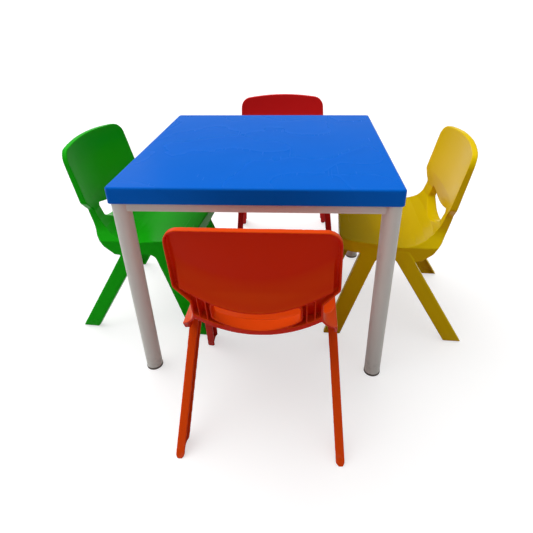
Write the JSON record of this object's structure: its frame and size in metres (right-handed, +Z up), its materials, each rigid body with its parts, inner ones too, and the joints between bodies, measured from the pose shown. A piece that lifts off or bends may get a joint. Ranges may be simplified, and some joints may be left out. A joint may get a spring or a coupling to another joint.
{
  "type": "kids table and chairs",
  "caption": "Square kids table with a moulded blue top on a light steel tube frame, and stacking one-piece plastic chairs with a handle slot in the back, set one to each side.",
  "frame": {"origin": "on the floor midway between the opposite chairs, close to the middle of the table", "axes": "+X to the right and +Y to the back of the table as pictured, +Z up"},
  "size_m": [1.0932, 1.1258, 0.523],
  "materials": {
    "blue_top": "glossy moulded plastic",
    "frame_paint": "light grey powder coat, satin",
    "glide_plastic": "dark moulded plastic, matt",
    "chair_orange": "glossy moulded plastic",
    "chair_red": "glossy moulded plastic",
    "chair_green": "glossy moulded plastic",
    "chair_yellow": "glossy moulded plastic"
  },
  "bodies": {
    "table": {"table_top": "blue_top", "rail_front": "frame_paint", "rail_back": "frame_paint", "rail_left": "frame_paint", "rail_right": "frame_paint", "leg_front_left": "frame_paint", "leg_front_right": "frame_paint", "leg_back_left": "frame_paint", "leg_back_right": "frame_paint", "glides": "glide_plastic", "corner_plate_front_left": "frame_paint", "corner_plate_front_right": "frame_paint", "corner_plate_back_left": "frame_paint", "corner_plate_back_right": "frame_paint"},
    "chair_front": {"chair_front": "chair_orange"},
    "chair_back": {"chair_back": "chair_red"},
    "chair_left": {"chair_left": "chair_green"},
    "chair_right": {"chair_right": "chair_yellow"}
  },
  "joints": [
    {"name": "chair_front_slide", "type": "slide", "parent": "table", "child": "chair_front", "axis": [-0.0105, -0.9999, 0], "range_m": [0, 0.35]},
    {"name": "chair_back_slide", "type": "slide", "parent": "table", "child": "chair_back", "axis": [-0.0593, 0.9982, 0], "range_m": [0, 0.35]},
    {"name": "chair_left_slide", "type": "slide", "parent": "table", "child": "chair_left", "axis": [-0.9963, 0.0854, 0], "range_m": [0, 0.35]},
    {"name": "chair_right_slide", "type": "slide", "parent": "table", "child": "chair_right", "axis": [0.9984, -0.0558, 0], "range_m": [0, 0.35]}
  ]
}
